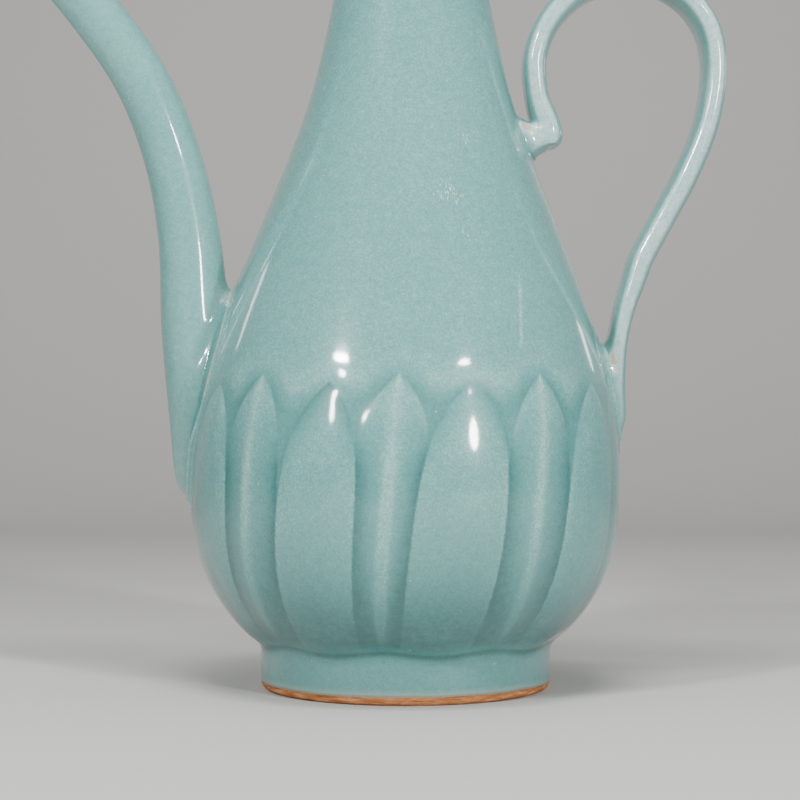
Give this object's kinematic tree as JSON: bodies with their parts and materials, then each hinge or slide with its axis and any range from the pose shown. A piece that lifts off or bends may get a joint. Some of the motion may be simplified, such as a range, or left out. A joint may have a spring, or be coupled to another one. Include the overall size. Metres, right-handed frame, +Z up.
{
  "type": "ceramic kettle",
  "caption": "Lidded celadon ewer: pear-shaped glazed bottle on a foot ring, carved lotus petals round its belly, a long curved spout and a looped strap handle.",
  "frame": {"origin": "centre of the bounding box at table level, under the middle of the span from spout tip to handle", "axes": "+Z up, spout towards -X, handle towards +X, -Y is the side seen in the picture"},
  "size_m": [0.2494, 0.1422, 0.3063],
  "materials": {
    "foot_glaze": "glossy grey-green celadon glaze, bare orange-brown clay at the resting edge",
    "body_glaze": "glossy translucent grey-green celadon glaze, pooled darker in the carving",
    "spout_glaze": "glossy translucent grey-green celadon glaze",
    "handle_glaze": "glossy thin celadon glaze, paler on its edges",
    "lid_glaze": "glossy translucent grey-green celadon glaze"
  },
  "bodies": {
    "ewer": {"foot_ring": "foot_glaze", "lower_body": "body_glaze", "shoulder": "body_glaze", "neck": "body_glaze", "spout": "spout_glaze", "spout_luting_coil": "spout_glaze", "handle_strap": "handle_glaze", "handle_stub": "handle_glaze", "stub_luting_coil": "handle_glaze"},
    "lid": {"lid_cap": "lid_glaze", "lid_flange": "lid_glaze", "lid_knob": "lid_glaze"}
  },
  "joints": [
    {"name": "lid_lift", "type": "slide", "parent": "ewer", "child": "lid", "axis": [0, 0, 1], "range_m": [0, 0.08]}
  ]
}
